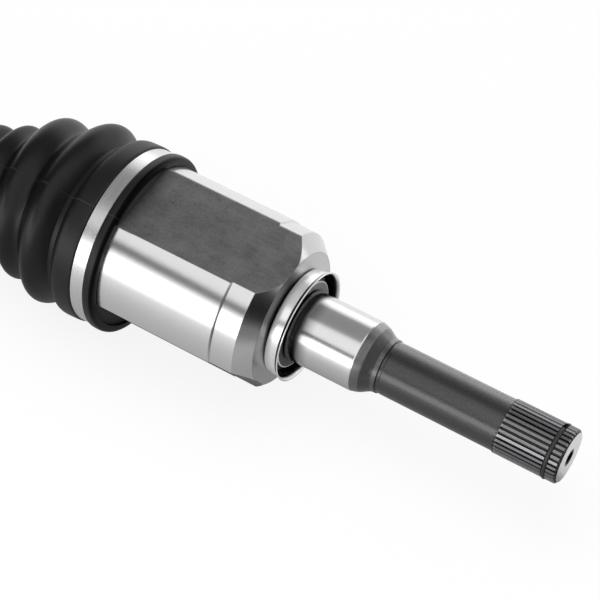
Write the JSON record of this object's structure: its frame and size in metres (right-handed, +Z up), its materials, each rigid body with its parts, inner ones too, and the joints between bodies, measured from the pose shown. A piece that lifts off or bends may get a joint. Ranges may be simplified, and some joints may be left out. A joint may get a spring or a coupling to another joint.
{
  "type": "cv axle shaft",
  "caption": "Front drive shaft with a plunging tripod joint, a ball-type outer joint, two convoluted boots, a splined stub and a threaded splined hub end.",
  "frame": {"origin": "middle of the ground seal journal on the inboard stub, on the shaft's axis", "axes": "+X along the shaft towards the inboard splined end, +Z up with one trunnion pointing straight down and one forged flat straight up"},
  "size_m": [0.6505, 0.0972, 0.0954],
  "materials": {
    "forged_steel": "turned lobes, dark forged flats and neck",
    "plated_steel": "bright pressed sheet",
    "black_steel": "black oxide spring steel",
    "boot_rubber": "satin moulded rubber",
    "clamp_steel": "bright stainless band",
    "bearing_steel": "ground",
    "ball_steel": "polished",
    "painted_bar": "satin black paint"
  },
  "bodies": {
    "inboard_housing": {"inboard_housing": "forged_steel", "dust_shield": "plated_steel", "stub_ring": "black_steel", "boot_insert": "boot_rubber", "inboard_boot": "boot_rubber", "inboard_clamp_large": "clamp_steel"},
    "roller_1": {"roller_1": "bearing_steel"},
    "axle_bar": {"axle_bar": "painted_bar", "spider": "bearing_steel", "spider_rings": "black_steel", "needles_1": "bearing_steel", "needles_2": "bearing_steel", "needles_3": "bearing_steel", "roller_washers": "bearing_steel", "roller_rings": "black_steel", "inboard_clamp_small": "clamp_steel", "outboard_clamp_small": "clamp_steel", "inner_race": "bearing_steel", "inner_race_ring": "black_steel"},
    "roller_2": {"roller_2": "bearing_steel"},
    "roller_3": {"roller_3": "bearing_steel"},
    "cage": {"cage": "bearing_steel", "ball_1": "ball_steel", "ball_4": "ball_steel"},
    "ball_2": {"ball_2": "ball_steel"},
    "ball_3": {"ball_3": "ball_steel"},
    "ball_5": {"ball_5": "ball_steel"},
    "ball_6": {"ball_6": "ball_steel"},
    "outer_race": {"outer_race": "forged_steel", "outboard_boot": "boot_rubber", "outboard_clamp_large": "clamp_steel"}
  },
  "joints": [
    {"name": "inboard_plunge", "type": "slide", "parent": "inboard_housing", "child": "roller_1", "axis": [1, 0, 0], "range_m": [-0.017, 0.018], "deforming": ["inboard_boot"]},
    {"name": "inboard_bend", "type": "hinge", "parent": "roller_1", "child": "axle_bar", "pos_m": [-0.097, 0, 0], "axis": [0, 0, 1], "range_deg": [-18, 18], "deforming": ["inboard_boot"]},
    {"name": "roller_2_spin", "type": "hinge", "parent": "axle_bar", "child": "roller_2", "pos_m": [-0.097, 0, 0], "axis": [0, 0.866, 0.5], "continuous": true},
    {"name": "roller_3_spin", "type": "hinge", "parent": "axle_bar", "child": "roller_3", "pos_m": [-0.097, 0, 0], "axis": [0, -0.866, 0.5], "continuous": true},
    {"name": "outboard_bend", "type": "hinge", "parent": "axle_bar", "child": "outer_race", "pos_m": [-0.41, 0, 0], "axis": [0, 0, 1], "range_deg": [-40, 40], "deforming": ["outboard_boot"]},
    {"name": "cage_swing", "type": "hinge", "parent": "axle_bar", "child": "cage", "pos_m": [-0.41, 0, 0], "axis": [0, 0, 1], "range_deg": [-20.1, 20.1]},
    {"name": "ball_2_shift", "type": "slide", "parent": "cage", "child": "ball_2", "axis": [0, 0.866, 0.5], "range_m": [-0.00107, 0.00107]},
    {"name": "ball_3_shift", "type": "slide", "parent": "cage", "child": "ball_3", "axis": [0, 0.866, -0.5], "range_m": [-0.00107, 0.00107]},
    {"name": "ball_5_shift", "type": "slide", "parent": "cage", "child": "ball_5", "axis": [0, -0.866, -0.5], "range_m": [-0.00107, 0.00107]},
    {"name": "ball_6_shift", "type": "slide", "parent": "cage", "child": "ball_6", "axis": [0, -0.866, 0.5], "range_m": [-0.00107, 0.00107]}
  ],
  "couplings": [
    {"joint": "cage_swing", "follows": "outboard_bend", "ratio": 0.5},
    {"joint": "ball_2_shift", "follows": "outboard_bend", "m_per_rad": 0.0015155},
    {"joint": "ball_3_shift", "follows": "outboard_bend", "m_per_rad": 0.0015155},
    {"joint": "ball_5_shift", "follows": "outboard_bend", "m_per_rad": -0.0015155},
    {"joint": "ball_6_shift", "follows": "outboard_bend", "m_per_rad": -0.0015155}
  ]
}
